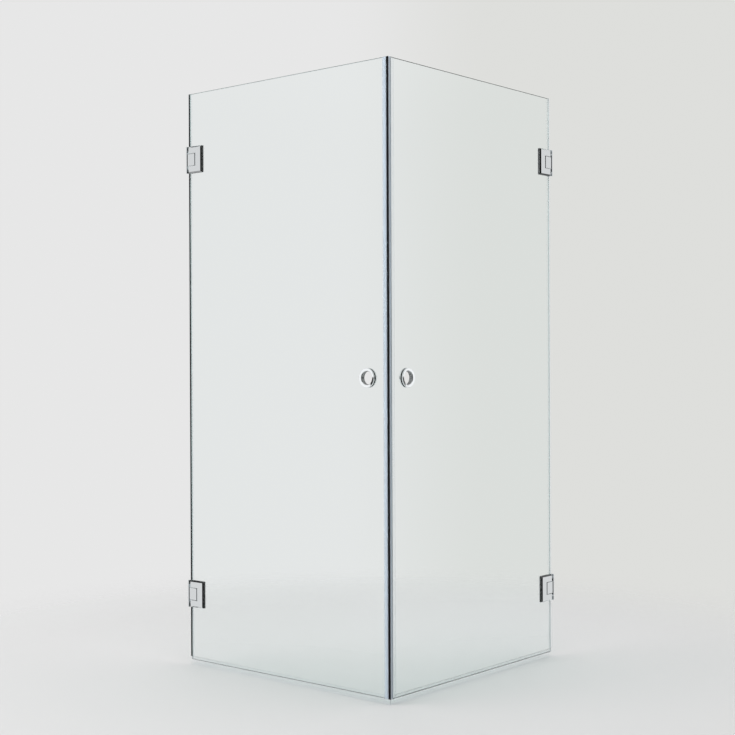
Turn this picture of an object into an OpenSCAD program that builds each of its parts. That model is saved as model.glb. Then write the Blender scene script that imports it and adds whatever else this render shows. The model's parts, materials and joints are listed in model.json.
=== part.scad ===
// Corner shower enclosure with two frameless glass doors.
// Each door hangs on two chrome wall hinges and closes on the other door
// at the outer corner, where two magnetic seals meet at 45 degrees.
// +Z is up, the floor is z = 0, and the shower space lies towards -X and +Y.
// The left door stands along X, and the right door is its mirror image along Y.

/* [Enclosure] */
// Distance from each wall to the outer corner, along the outer glass faces
side_w = 900; // [700:10:1200]
// Height of the glass panes
glass_h = 1950; // [1700:10:2200]
// Thickness of the glass
glass_t = 8; // [6:1:10]
// Height of the glass above the floor
floor_gap = 17; // [14:1:25]
// Width of the arris ground on the straight edges of the glass
arris = 1; // [0.5:0.1:1.5]
// Gap between each pane and its wall
wall_gap = 12; // [11:0.5:14]

/* [Hinge clamps] */
// Height of the clamp plates and of the wall plate
hinge_h = 92; // [88:1:110]
// Distance from the middle of a hinge to the top or bottom edge of the pane
hinge_inset = 227; // [150:1:400]
// Thickness of each clamp plate
clamp_t = 5; // [5:0.5:7]
// Distance from the wall to the near edge of the clamp plates
clamp_start = 11; // [10:0.5:12]
// Distance from the wall to the free edge of the clamp plates
clamp_end = 74; // [70:1:95]
// Radius of the clamp plates' corners
clamp_corner = 1.5; // [0.5:0.5:4]
// Width of the bevels at the top, the bottom and the free edge of each clamp plate
clamp_bevel = 4.5; // [1:0.5:4.5]
// Width of the chamfers on the wall plate, the knuckle and the clamps' notch
face_chamfer = 0.6; // [0.2:0.1:1]
// Thickness of each gasket between clamp and glass
gasket_t = 1; // [0.5:0.25:1.5]
// How far the gaskets stay inside the outline of the clamps
gasket_inset = 0.5; // [0.25:0.25:2]
// How far the cut-out in the glass reaches past the notch for the knuckle
cutout_past = 1.2; // [0.8:0.1:3]
// Radius of the round ears at the inner corners of the cut-out
ear_r = 9; // [8:0.5:10]
// How far the middle of each ear lies beyond the end of the cut-out
ear_out = 2; // [0:0.5:4]
// How far the middle of each ear lies inside the height of the cut-out
ear_drop = 7; // [5:0.5:8]
// Height of the clamp body above and below the knuckle, which holds the pin
pin_hold = 10.5; // [9:0.5:12]
// Clearance between the clamp body and the edge of the cut-out
cutout_fit = 1; // [0.5:0.25:1.5]

/* [Clamp screws] */
// Diameter of the clamp screws' threads
screw_d = 6; // [4:0.5:6]
// Diameter of the clamp screws' countersunk heads
screw_head_d = 11; // [9:0.5:12]
// Width of the socket in the clamp screws, across its flats
screw_socket = 4; // [2.5:0.5:5]
// Depth of the socket in the clamp screws
screw_socket_depth = 2.5; // [1.5:0.25:3]
// How far the clamp screws reach into the outer plate
screw_bite = 1; // [0.5:0.25:2]
// How far the tapped holes reach past the ends of the clamp screws
tap_past = 0.5; // [0.2:0.1:1]
// Radial clearance of the screws in their threads
thread_fit = 0.02; // [0.01:0.01:0.1]
// Radial clearance of the screws in the cover plate
screw_fit = 0.2; // [0.1:0.05:0.5]

/* [Hinge pivot] */
// Thickness of the wall plate
wall_plate_t = 5; // [4:0.5:6]
// Width of the wall plate
wall_plate_w = 24; // [22:1:34]
// Distance from the wall to the pivot axis
pivot_out = 28; // [27:0.5:30]
// Height of the knuckle on the wall plate
knuckle_h = 41; // [36:1:42]
// Radius of the knuckle's round end about the pivot axis
knuckle_r = 16; // [13:0.5:16]
// Clearance between the knuckle's end and the clamps
knuckle_fit = 0.8; // [0.4:0.1:1.2]
// Gap above and below the knuckle, which holds a washer
knuckle_gap = 1; // [0.8:0.1:1.5]
// Diameter of the hinge pin
pin_d = 8; // [6:0.5:9]
// Radial running clearance of the pin in the knuckle
pin_fit = 0.05; // [0.02:0.01:0.1]
// Radial clearance of the pin in the clamp body
pin_seat = 0.02; // [0.01:0.01:0.05]
// Diameter of the pivot washers
washer_d = 16; // [13:0.5:18]
// End play of each pivot washer, on each of its faces
washer_play = 0.05; // [0.02:0.01:0.1]

/* [Hinge detent] */
// Diameter of the detent plunger
plunger_d = 7; // [6:0.5:8]
// Length of the detent plunger's body
plunger_len = 7; // [5:0.5:8]
// Depth of the flat on the pin that the plunger holds
flat_depth = 0.6; // [0.3:0.1:1]
// How far the flat reaches above and below the plunger
flat_past = 1; // [0.5:0.25:2]
// Radial clearance of the plunger in its bore
plunger_fit = 0.05; // [0.03:0.01:0.1]
// Length of the spigot on the plunger, inside the spring
spigot_len = 1.75; // [1:0.25:2.5]
// Radial clearance between the spigot and the spring
spigot_fit = 0.2; // [0.1:0.05:0.4]
// Diameter of the wire of the detent spring
wire_d = 1; // [0.6:0.1:1]
// Radial clearance of the detent spring in its bore
spring_fit = 0.35; // [0.2:0.05:0.5]
// Number of turns of the detent spring
spring_turns = 4; // [3:1:4]
// Length of the detent spring as fitted
spring_len = 7; // [6.5:0.25:8]
// Gap between each end of the spring and its seat
spring_gap = 0.1; // [0.05:0.05:0.2]
// Diameter of the adjusting screw behind the spring
adjuster_d = 9; // [8.5:0.5:10]
// Width of the socket in the adjusting screw, across its flats
adjuster_socket = 4; // [3:0.5:5]
// How far the adjusting screw lies behind the face of the wall plate
adjuster_sunk = 0.5; // [0.5:0.25:1.5]

/* [Wall screw holes] */
// Diameter of the wall screw holes
wall_hole_d = 5.5; // [4.5:0.5:6]
// Diameter of the countersinks for the wall screws
wall_sink_d = 10.5; // [9:0.5:12]
// Distance between the two wall screw holes of a hinge
wall_hole_pitch = 66; // [62:1:72]

/* [Ring pulls] */
// Diameter of the ring pulls
knob_d = 61; // [55:1:75]
// Diameter of the finger hole through the ring pulls
finger_d = 42; // [30:1:43]
// Thickness of the rim of each ring
knob_t = 4.5; // [3.5:0.5:8]
// Depth of the dish in the face of each ring
knob_dish = 1.4; // [0.5:0.1:2]
// Radius of the rounded edges of each ring
knob_round = 1.2; // [0.5:0.1:1.5]
// Radius of the bevel at the back edge of each ring
knob_back = 0.6; // [0.2:0.1:1]
// How far the dished face is hollowed between its rim and the finger hole
knob_hollow = 0.35; // [0:0.05:0.8]
// Wall of the threaded tube that joins the two rings
knob_tube = 2; // [1.5:0.25:3]
// How far the tube screws into the inner ring
knob_thread = 1.5; // [1:0.25:1.75]
// Wall of the plastic bush round the tube, in the glass
knob_bush_t = 1.5; // [1:0.25:2.5]
// Radial clearance between tube, bush and glass
knob_fit = 0.1; // [0.05:0.05:0.3]
// Thickness of the clear washers between ring and glass
knob_washer_t = 0.8; // [0.4:0.1:1.5]
// How far the washers stay inside the edge of the rings
knob_washer_inset = 1; // [0.5:0.25:2]
// Distance from the outer corner to the middle of the ring pulls
knob_from_corner = 88; // [65:1:160]
// Height of the ring pulls above the bottom edge of the glass
knob_h = 975; // [800:5:1100]

/* [Seals] */
// Wall thickness of the clear seals
seal_wall = 1.2; // [0.8:0.1:1.4]
// Clearance between the seals and the glass
seal_fit = 0.1; // [0.05:0.05:0.2]
// How far the corner seals reach onto the glass
corner_grip = 12; // [9:1:18]
// How far the bottom sweeps reach up the glass
sweep_grip = 10; // [8:1:15]
// How far the wall seals reach onto the glass
wall_grip = 10; // [8:1:15]
// Gap between the two corner seals in the closed corner
mitre_gap = 0.2; // [0.2:0.1:0.8]
// Thickness of the magnet strips
magnet_t = 2.5; // [2:0.25:3]
// Wall of the seal between a magnet strip and the mitre face
magnet_skin = 0.3; // [0.3:0.1:0.6]
// Wall of the seal behind the edges of a magnet strip
magnet_wall = 0.3; // [0.2:0.1:0.6]
// Clearance round the magnet strips
magnet_fit = 0.05; // [0.02:0.01:0.1]
// How far each magnet strip stops short of the ends of its seal
magnet_end = 1; // [0.5:0.5:10]
// How far the inner lip of the sweep leans into the shower
drip_out = 2; // [1:0.5:3]
// Height of the inner lip's edge above the floor
drip_rise = 4; // [2:0.5:6]
// Wall thickness of the tube on the wall seals
bulb_wall = 0.8; // [0.5:0.1:1.2]
// Clearance between the wall seals and the wall
wall_clear = 0.3; // [0.1:0.1:0.5]
// Gap between the cut ends of neighbouring seals, and round the hinges
end_gap = 0.5; // [0.3:0.1:1]

/* [Hidden] */
$fn = 64;
// How far joined shapes overlap, and how far a cut reaches past what it cuts
eps = 0.01;
over = 1;

// Half the thickness of a closed hinge: glass, gasket and clamp plate
body_half = glass_t / 2 + gasket_t + clamp_t;
// Inner face of the clamp plates, from the middle of the glass
seat_half = glass_t / 2 + gasket_t;
// The wall, the pane's edge and the clamps, measured from the pivot axis
wall_x = -pivot_out;
edge_x = wall_gap - pivot_out;
clamp_x0 = clamp_start - pivot_out;
clamp_x1 = clamp_end - pivot_out;
// Half the height of the notch that the knuckle turns in
notch_half = knuckle_h / 2 + knuckle_gap;
notch_x = knuckle_r + knuckle_fit;
// The pin ends level with the clamp body, inside the cut-out in the glass
pin_r = pin_d / 2;
pin_half = notch_half + pin_hold;
cutout_x = notch_x + cutout_past;
cutout_half = pin_half + cutout_fit;
// Middle of a cut-out's ear, which is also the middle of a clamp screw
ear_x = cutout_x + ear_out;
ear_z = cutout_half - ear_drop;
head_depth = (screw_head_d - screw_d) / 2;
tip_x = -(pin_r + pin_fit);
spring_x = tip_x - plunger_len;
adjuster_x = spring_x - spring_len;
spring_r = (plunger_d - wire_d) / 2 - spring_fit;
sink_depth = (wall_sink_d - wall_hole_d) / 2;

// Ring pull radii, from the finger hole outwards
finger_r = finger_d / 2;
tube_r = finger_r + knob_tube;
bush_r0 = tube_r + knob_fit;
bush_r1 = bush_r0 + knob_bush_t;
knob_hole_r = bush_r1 + knob_fit;
knob_r = knob_d / 2;
washer_r = knob_r - knob_washer_inset;
// Back of each ring and end of the tube, from the middle of the glass
ring_seat = glass_t / 2 + knob_washer_t;
tube_end = ring_seat + knob_thread;

// The panes stop short of the corner by the width of the mitred seals
corner_gap = glass_t + 2 * (seal_fit + seal_wall) + mitre_gap;
glass_x0 = -side_w + wall_gap;
glass_x1 = -corner_gap;
glass_z0 = floor_gap;
glass_z1 = floor_gap + glass_h;
lower_z = glass_z0 + hinge_inset;
upper_z = glass_z1 - hinge_inset;
knob_z = glass_z0 + knob_h;
// Outer and inner faces of the seals' legs
leg_y0 = -seal_fit - seal_wall;
leg_y1 = glass_t + seal_fit + seal_wall;
// The middle of a magnet strip behind the mitre, and the width that fits there
magnet_in = mitre_gap / 2 + magnet_skin + magnet_t / 2;
magnet_w = 2 * ((glass_t / 2 - leg_y0 - magnet_wall) * sqrt(2) - magnet_in - magnet_t / 2);
// Larger than any piece that is cut
far = 3 * side_w;

// The bounding box is centred on the origin
front_y = glass_t / 2 - wall_plate_w / 2;
centre = (side_w + front_y) / 2;

CHROME = [0.80, 0.81, 0.83];
STEEL = [0.62, 0.63, 0.65];
CLEAR = [0.80, 0.86, 0.92, 0.6];
GLASS = [0.82, 0.93, 0.90, 0.35];
BLACK = [0.08, 0.08, 0.10];
NYLON = [0.90, 0.90, 0.88];

// Puts a piece drawn for the left door in place, with the origin at the outer corner
module left_side() {
    translate([centre, -centre, 0]) children();
}

// Puts the same piece on the right door, mirrored across the corner's diagonal
module right_side() {
    translate([centre, -centre, 0]) mirror([1, 1, 0]) children();
}

// Moves a piece drawn about the pivot axis to the hinge at height z
module hinge(z) {
    translate([-side_w + pivot_out, glass_t / 2, z]) children();
}

// Turns an outline in X and Z into a plate from y0 to y1
module plate(y0, y1) {
    translate([0, y1, 0]) rotate([90, 0, 0]) linear_extrude(y1 - y0) children();
}

// A rectangle with round corners
module round_rect(x0, x1, half_h, r) {
    for (x = [x0 + r, x1 - r], z = [r - half_h, half_h - r]) translate([x, z]) circle(r);
    translate([x0 + r, -half_h]) square([x1 - x0 - 2 * r, 2 * half_h]);
    translate([x0, r - half_h]) square([x1 - x0, 2 * half_h - 2 * r]);
}

// Outline of a clamp plate, notched for the knuckle
module clamp_outline() {
    difference() {
        round_rect(clamp_x0, clamp_x1, hinge_h / 2, clamp_corner);
        translate([clamp_x0 - over, -notch_half]) square([notch_x - clamp_x0 + over, 2 * notch_half]);
    }
}

// Outline of the cut-out in the glass about the pivot axis, made smaller by the margin m
module cutout_outline(m) {
    translate([edge_x - over, m - cutout_half])
        square([cutout_x - edge_x + over - m, 2 * (cutout_half - m)]);
    for (side = [-1, 1]) translate([ear_x, side * ear_z]) circle(ear_r - m);
}

// A rectangle from a0 to a1 and from b0 to b1 with chamfered corners
module chamfered(a0, a1, b0, b1, c) {
    polygon([
        [a0 + c, b0], [a1 - c, b0], [a1, b0 + c], [a1, b1 - c],
        [a1 - c, b1], [a0 + c, b1], [a0, b1 - c], [a0, b0 + c]
    ]);
}

// Turns an outline in Y and Z into a bar from x0 to x1
module bar(x0, x1) {
    translate([x0, 0, 0]) rotate([90, 0, 90]) linear_extrude(x1 - x0) children();
}

// A block with chamfers round its faces at y0 and y1
module eased_block(x0, x1, y0, y1, z0, z1, c) {
    intersection() {
        translate([0, 0, z0]) linear_extrude(z1 - z0) chamfered(x0, x1, y0, y1, c);
        bar(x0, x1) chamfered(y0, y1, z0, z1, c);
    }
}

// A cylinder along the Y axis from y0 to y1, at x and z
module bar_y(x, z, y0, y1, r) {
    translate([x, y0, z]) rotate([-90, 0, 0]) cylinder(h = y1 - y0, r = r);
}

// A cylinder along the X axis from x0 to x1
module bar_x(x0, x1, r) {
    translate([x0, 0, 0]) rotate([0, 90, 0]) cylinder(h = x1 - x0, r = r);
}

// The wall plate with its knuckle, bored for the pin, the detent and two wall screws
module wall_plate() {
    color(CHROME) difference() {
        union() {
            translate([wall_x, 0, 0]) rotate([0, 0, -90]) back_plate(wall_plate_w / 2);
            knuckle();
        }
        translate([0, 0, -knuckle_h]) cylinder(h = 2 * knuckle_h, r = pin_r + pin_fit);
        bar_x(wall_x - over, -pin_r / 2, plunger_d / 2);
        bar_x(wall_x - over, adjuster_x, adjuster_d / 2);
        for (side = [-1, 1]) translate([0, 0, side * wall_hole_pitch / 2]) wall_screw_hole();
    }
}

// The wall plate itself, lying across Y with its back at y = 0 and its room side chamfered
module back_plate(half_w) {
    intersection() {
        plate(0, wall_plate_t) round_rect(-half_w, half_w, hinge_h / 2, clamp_corner);
        eased_block(-half_w, half_w, -wall_plate_t, wall_plate_t, -hinge_h / 2, hinge_h / 2, face_chamfer);
    }
}

// The knuckle: a chamfered bar off the wall plate, with a round end about the pivot axis
module knuckle() {
    root_x = wall_x + wall_plate_t - eps;
    intersection() {
        bar(root_x, knuckle_r + over)
            chamfered(-body_half, body_half, -knuckle_h / 2, knuckle_h / 2, face_chamfer);
        translate([0, 0, -knuckle_h]) linear_extrude(2 * knuckle_h) {
            circle(knuckle_r);
            translate([-pivot_out, -knuckle_r]) square([pivot_out, 2 * knuckle_r]);
        }
    }
}

// A through hole for a wall screw, with its countersink on the room side
module wall_screw_hole() {
    bar_x(wall_x - over, wall_x + wall_plate_t + over, wall_hole_d / 2);
    translate([wall_x + wall_plate_t - sink_depth, 0, 0]) rotate([0, 90, 0])
        cylinder(h = sink_depth + eps, r1 = wall_hole_d / 2, r2 = wall_sink_d / 2 + eps);
}

// The hinge pin, with the flat that the detent plunger holds in the closed position
module hinge_pin() {
    color(STEEL) difference() {
        translate([0, 0, -pin_half]) cylinder(h = 2 * pin_half, r = pin_r);
        translate([-pin_d - pin_r + flat_depth, -pin_d, -plunger_d / 2 - flat_past])
            cube([pin_d, 2 * pin_d, plunger_d + 2 * flat_past]);
    }
}

// Two plain washers that carry the door on the knuckle
module pivot_washers() {
    washer_t = knuckle_gap - 2 * washer_play;
    color(NYLON) for (side = [-1, 1])
        translate([0, 0, side * (knuckle_h + knuckle_gap) / 2 - washer_t / 2]) difference() {
            cylinder(h = washer_t, r = washer_d / 2);
            translate([0, 0, -over]) cylinder(h = washer_t + 2 * over, r = pin_r + 2 * pin_fit);
        }
}

// A clamp plate with its bevelled face at -body_half, the one outside the shower
module clamp_plate() {
    difference() {
        intersection() {
            plate(-body_half, -seat_half) clamp_outline();
            eased_block(clamp_x0 - clamp_bevel, clamp_x1, -body_half, body_half,
                -hinge_h / 2, hinge_h / 2, clamp_bevel);
        }
        notch_chamfer();
    }
}

// What the chamfer round the notch takes off a clamp plate, widening evenly from y1 out past its face
module notch_chamfer() {
    y0 = -body_half - over;
    y1 = -body_half + face_chamfer;
    r = y1 - y0;
    intersection() {
        translate([0, 0, -hinge_h]) linear_extrude(2 * hinge_h) polygon([
            [clamp_x0 - over, y0], [notch_x + r, y0], [notch_x, y1], [clamp_x0 - over, y1]
        ]);
        bar(clamp_x0 - 2 * over, clamp_x1) polygon([
            [y0, -notch_half - r], [y1, -notch_half], [y1, notch_half], [y0, notch_half + r]
        ]);
    }
}

// The outer clamp plate in one piece with the body that fills the cut-out and holds the pin
module outer_clamp() {
    color(CHROME) difference() {
        union() {
            clamp_plate();
            plate(-seat_half - eps, seat_half) intersection() {
                cutout_outline(cutout_fit);
                clamp_outline();
            }
        }
        translate([0, 0, -hinge_h]) cylinder(h = 2 * hinge_h, r = pin_r + pin_seat);
        for (side = [-1, 1])
            bar_y(ear_x, side * ear_z, -seat_half - screw_bite - tap_past, seat_half + over,
                screw_d / 2 + thread_fit);
    }
}

// The inner clamp plate, countersunk for the two clamp screws
module inner_clamp() {
    color(CHROME) difference() {
        mirror([0, 1, 0]) clamp_plate();
        for (side = [-1, 1]) translate([ear_x, 0, side * ear_z]) {
            bar_y(0, 0, seat_half - over, body_half + over, screw_d / 2 + screw_fit);
            translate([0, body_half - head_depth, 0]) rotate([-90, 0, 0])
                cylinder(h = head_depth + eps, r1 = screw_d / 2 + screw_fit,
                    r2 = screw_head_d / 2 + screw_fit);
        }
    }
}

// Two gaskets, one on each face of the glass
module gaskets() {
    color(BLACK) for (y = [-seat_half, glass_t / 2]) plate(y, y + gasket_t) difference() {
        round_rect(edge_x, clamp_x1 - gasket_inset, hinge_h / 2 - gasket_inset, clamp_corner);
        cutout_outline(0);
    }
}

// Two countersunk screws that pull the clamp plates together
module clamp_screws() {
    color(STEEL) for (side = [-1, 1]) translate([ear_x, 0, side * ear_z]) difference() {
        union() {
            bar_y(0, 0, -seat_half - screw_bite, body_half - head_depth + eps, screw_d / 2);
            translate([0, body_half - head_depth, 0]) rotate([-90, 0, 0])
                cylinder(h = head_depth, r1 = screw_d / 2, r2 = screw_head_d / 2);
        }
        translate([0, body_half - screw_socket_depth, 0]) rotate([-90, 0, 0])
            cylinder(h = screw_socket_depth + over, d = screw_socket / cos(30), $fn = 6);
    }
}

// The detent plunger, held against the pin by its spring
module plunger() {
    spigot_r = spring_r - wire_d / 2 - spigot_fit;
    color(STEEL) {
        bar_x(spring_x, tip_x, plunger_d / 2 - plunger_fit);
        bar_x(spring_x - spigot_len, spring_x + eps, spigot_r);
    }
}

// A point of the detent spring's wire: f is the share of the length, a the angle round the wire
function wire_point(f, a) = [
    spring_x - spring_gap - wire_d / 2 * (1 - sin(a)) - f * (spring_len - wire_d - 2 * spring_gap),
    (spring_r + wire_d / 2 * cos(a)) * cos(360 * spring_turns * f),
    (spring_r + wire_d / 2 * cos(a)) * sin(360 * spring_turns * f)
];

// The detent spring, one unbroken helix of wire
module detent_spring() {
    sides = 6;
    rings = 10 * spring_turns;
    points = [for (i = [0 : rings], k = [0 : sides - 1]) wire_point(i / rings, 360 * k / sides)];
    walls = [for (i = [0 : rings - 1], k = [0 : sides - 1]) let (n = (k + 1) % sides)
        [i * sides + k, i * sides + n, (i + 1) * sides + n, (i + 1) * sides + k]];
    ends = [[for (k = [sides - 1 : -1 : 0]) k], [for (k = [0 : sides - 1]) rings * sides + k]];
    color(STEEL) polyhedron(points = points, faces = concat(walls, ends), convexity = 6);
}

// The screw behind the spring that sets the force of the detent
module adjuster() {
    color(STEEL) difference() {
        bar_x(wall_x + adjuster_sunk, adjuster_x, adjuster_d / 2 - thread_fit);
        translate([wall_x, 0, 0]) rotate([0, 90, 0])
            cylinder(h = adjuster_sunk + screw_socket_depth, d = adjuster_socket / cos(30), $fn = 6);
    }
}

// A pane with its two hinge cut-outs and the hole for the ring pull
module glass() {
    color(GLASS) difference() {
        eased_block(glass_x0, glass_x1, 0, glass_t, glass_z0, glass_z1, arris);
        plate(-over, glass_t + over) {
            for (z = [lower_z, upper_z]) translate([-side_w + pivot_out, z]) cutout_outline(0);
            translate([-knob_from_corner, knob_z]) circle(knob_hole_r);
        }
    }
}

// Moves a piece turned about the Z axis onto the axis of the ring pull; +Z faces the shower
module knob() {
    translate([-knob_from_corner, glass_t / 2, knob_z]) rotate([-90, 0, 0]) children();
}

// Points of a quarter round about c with radius r, from angle a to angle b
function round_points(c, r, a, b) = [for (i = [0 : 4]) let (t = a + (b - a) * i / 4)
    c + r * [cos(t), sin(t)]];

// Points of the dished face between radii r1 and r0, at the heights z1 and z0, hollowed in between
function dish_points(r1, r0, z1, z0) = [for (i = [1 : 4]) let (f = i / 5)
    [r1 + (r0 - r1) * f, z1 + (z0 - z1) * f - knob_hollow * sin(180 * f)]];

// Half section of a ring: flat back, rounded rim, dished face and rounded finger hole
function ring_section(y) = let (
    rim = [knob_r - knob_round, y + knob_t],
    lip = [finger_r + knob_round, y + knob_t - knob_dish]
) concat(
    [[finger_r, y], [knob_r - knob_back, y], [knob_r, y + knob_back]],
    round_points(rim - [0, knob_round], knob_round, 0, 90),
    dish_points(rim[0], lip[0], rim[1], lip[1]),
    round_points(lip - [0, knob_round], knob_round, 90, 180)
);

// The outer ring, in one piece with the threaded tube through the glass
module knob_outer() {
    color(CHROME) knob() {
        rotate([180, 0, 0]) rotate_extrude() polygon(ring_section(ring_seat));
        translate([0, 0, -ring_seat - eps]) difference() {
            cylinder(h = ring_seat + tube_end + eps, r = tube_r);
            translate([0, 0, -over]) cylinder(h = 2 * (ring_seat + knob_t), r = finger_r);
        }
    }
}

// The inner ring, which screws onto the tube
module knob_inner() {
    color(CHROME) knob() difference() {
        rotate_extrude() polygon(ring_section(ring_seat));
        translate([0, 0, ring_seat - over])
            cylinder(h = tube_end - ring_seat + over, r = tube_r + thread_fit);
    }
}

// The plastic bush between the tube and the glass
module knob_bush() {
    color(NYLON) knob() difference() {
        translate([0, 0, -glass_t / 2]) cylinder(h = glass_t, r = bush_r1);
        translate([0, 0, -glass_t]) cylinder(h = 2 * glass_t, r = bush_r0);
    }
}

// Two clear washers between the rings and the glass
module knob_washers() {
    color(CLEAR) knob() for (z = [-ring_seat, glass_t / 2]) translate([0, 0, z]) difference() {
        cylinder(h = knob_washer_t, r = washer_r);
        translate([0, 0, -over]) cylinder(h = knob_washer_t + 2 * over, r = bush_r0);
    }
}

// Section of the corner seal: a channel on the glass and a mitred chamber for the magnet
module corner_section() {
    mitre = mitre_gap / sqrt(2);
    difference() {
        polygon([
            [glass_x1 - corner_grip, leg_y0], [-leg_y0 - mitre, leg_y0],
            [-leg_y1 - mitre, leg_y1], [glass_x1 - corner_grip, leg_y1]
        ]);
        translate([glass_x1 - corner_grip - over, -seal_fit])
            square([corner_grip + over + seal_fit, glass_t + 2 * seal_fit]);
        magnet_section(magnet_fit);
    }
}

// Section of the magnet strip along the mitre, made larger by the margin m
module magnet_section(m) {
    translate([-glass_t / 2, glass_t / 2]) rotate([0, 0, -45]) translate([0, -magnet_in])
        square([magnet_w + 2 * m, magnet_t + 2 * m], center = true);
}

// The clear seal on the closing edge of a door
module corner_seal() {
    color(CLEAR) translate([0, 0, glass_z0]) linear_extrude(glass_h) corner_section();
}

// The magnet strip inside the corner seal
module magnet() {
    color(BLACK) translate([0, 0, glass_z0 + magnet_end]) linear_extrude(glass_h - 2 * magnet_end)
        magnet_section(0);
}

// The clear sweep under a door, cut back round the corner seal and mitred at the corner
module bottom_sweep() {
    color(CLEAR) difference() {
        bar(glass_x0, leg_y1 + drip_out) sweep_section();
        translate([glass_x1 - corner_grip - end_gap, -far / 2, glass_z0 - seal_fit]) cube(far);
        rotate([0, 0, 45]) translate([-mitre_gap / 2, -far / 2, -over]) cube(far);
    }
}

// Section of the sweep: a channel on the glass, a wiping lip and a lip that leans inwards
module sweep_section() {
    web_z = glass_z0 - seal_fit;
    top_z = glass_z0 + sweep_grip;
    polygon([
        [leg_y0, 0], [leg_y0 + seal_wall, 0], [leg_y0 + seal_wall, web_z - seal_wall],
        [leg_y1 - seal_wall, web_z - seal_wall], [leg_y1 - seal_wall + drip_out, drip_rise],
        [leg_y1 + drip_out, drip_rise], [leg_y1, web_z], [leg_y1, top_z],
        [leg_y1 - seal_wall, top_z], [leg_y1 - seal_wall, web_z],
        [leg_y0 + seal_wall, web_z], [leg_y0 + seal_wall, top_z], [leg_y0, top_z]
    ]);
}

// The clear seal on the wall edge of a door, in three lengths between the hinges
module wall_seal() {
    low = glass_z0 + sweep_grip + end_gap;
    half = hinge_h / 2 + end_gap;
    color(CLEAR) for (span = [[low, lower_z - half], [lower_z + half, upper_z - half],
        [upper_z + half, glass_z1]])
        translate([glass_x0, glass_t / 2, span[0]]) linear_extrude(span[1] - span[0]) wall_section();
}

// Section of the wall seal: a channel on the glass and a soft tube that meets the wall
module wall_section() {
    leg_half = glass_t / 2 + seal_fit + seal_wall;
    web_x = -seal_fit - seal_wall;
    bulb_r = (wall_gap + web_x - wall_clear + bulb_wall / 2) / 2;
    bulb_x = web_x - bulb_r + bulb_wall / 2;
    difference() {
        translate([web_x, -leg_half]) square([wall_grip - web_x, 2 * leg_half]);
        translate([-seal_fit, -glass_t / 2 - seal_fit])
            square([wall_grip + seal_fit + over, glass_t + 2 * seal_fit]);
    }
    difference() {
        translate([bulb_x, 0]) circle(bulb_r);
        translate([bulb_x, 0]) circle(bulb_r - bulb_wall);
    }
}

left_side() glass();  // left_glass
right_side() glass();  // right_glass
left_side() knob_outer();  // left_knob_outer
right_side() knob_outer();  // right_knob_outer
left_side() knob_inner();  // left_knob_inner
right_side() knob_inner();  // right_knob_inner
left_side() knob_bush();  // left_knob_bush
right_side() knob_bush();  // right_knob_bush
left_side() knob_washers();  // left_knob_washers
right_side() knob_washers();  // right_knob_washers
left_side() corner_seal();  // left_corner_seal
right_side() corner_seal();  // right_corner_seal
left_side() magnet();  // left_magnet
right_side() magnet();  // right_magnet
left_side() bottom_sweep();  // left_bottom_sweep
right_side() bottom_sweep();  // right_bottom_sweep
left_side() wall_seal();  // left_wall_seal
right_side() wall_seal();  // right_wall_seal
left_side() hinge(upper_z) wall_plate();  // left_upper_wall_plate
left_side() hinge(lower_z) wall_plate();  // left_lower_wall_plate
right_side() hinge(upper_z) wall_plate();  // right_upper_wall_plate
right_side() hinge(lower_z) wall_plate();  // right_lower_wall_plate
left_side() hinge(upper_z) hinge_pin();  // left_upper_hinge_pin
left_side() hinge(lower_z) hinge_pin();  // left_lower_hinge_pin
right_side() hinge(upper_z) hinge_pin();  // right_upper_hinge_pin
right_side() hinge(lower_z) hinge_pin();  // right_lower_hinge_pin
left_side() hinge(upper_z) pivot_washers();  // left_upper_pivot_washers
left_side() hinge(lower_z) pivot_washers();  // left_lower_pivot_washers
right_side() hinge(upper_z) pivot_washers();  // right_upper_pivot_washers
right_side() hinge(lower_z) pivot_washers();  // right_lower_pivot_washers
left_side() hinge(upper_z) outer_clamp();  // left_upper_outer_clamp
left_side() hinge(lower_z) outer_clamp();  // left_lower_outer_clamp
right_side() hinge(upper_z) outer_clamp();  // right_upper_outer_clamp
right_side() hinge(lower_z) outer_clamp();  // right_lower_outer_clamp
left_side() hinge(upper_z) inner_clamp();  // left_upper_inner_clamp
left_side() hinge(lower_z) inner_clamp();  // left_lower_inner_clamp
right_side() hinge(upper_z) inner_clamp();  // right_upper_inner_clamp
right_side() hinge(lower_z) inner_clamp();  // right_lower_inner_clamp
left_side() hinge(upper_z) gaskets();  // left_upper_gaskets
left_side() hinge(lower_z) gaskets();  // left_lower_gaskets
right_side() hinge(upper_z) gaskets();  // right_upper_gaskets
right_side() hinge(lower_z) gaskets();  // right_lower_gaskets
left_side() hinge(upper_z) clamp_screws();  // left_upper_clamp_screws
left_side() hinge(lower_z) clamp_screws();  // left_lower_clamp_screws
right_side() hinge(upper_z) clamp_screws();  // right_upper_clamp_screws
right_side() hinge(lower_z) clamp_screws();  // right_lower_clamp_screws
left_side() hinge(upper_z) plunger();  // left_upper_plunger
left_side() hinge(lower_z) plunger();  // left_lower_plunger
right_side() hinge(upper_z) plunger();  // right_upper_plunger
right_side() hinge(lower_z) plunger();  // right_lower_plunger
left_side() hinge(upper_z) detent_spring();  // left_upper_spring
left_side() hinge(lower_z) detent_spring();  // left_lower_spring
right_side() hinge(upper_z) detent_spring();  // right_upper_spring
right_side() hinge(lower_z) detent_spring();  // right_lower_spring
left_side() hinge(upper_z) adjuster();  // left_upper_adjuster
left_side() hinge(lower_z) adjuster();  // left_lower_adjuster
right_side() hinge(upper_z) adjuster();  // right_upper_adjuster
right_side() hinge(lower_z) adjuster();  // right_lower_adjuster
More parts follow.
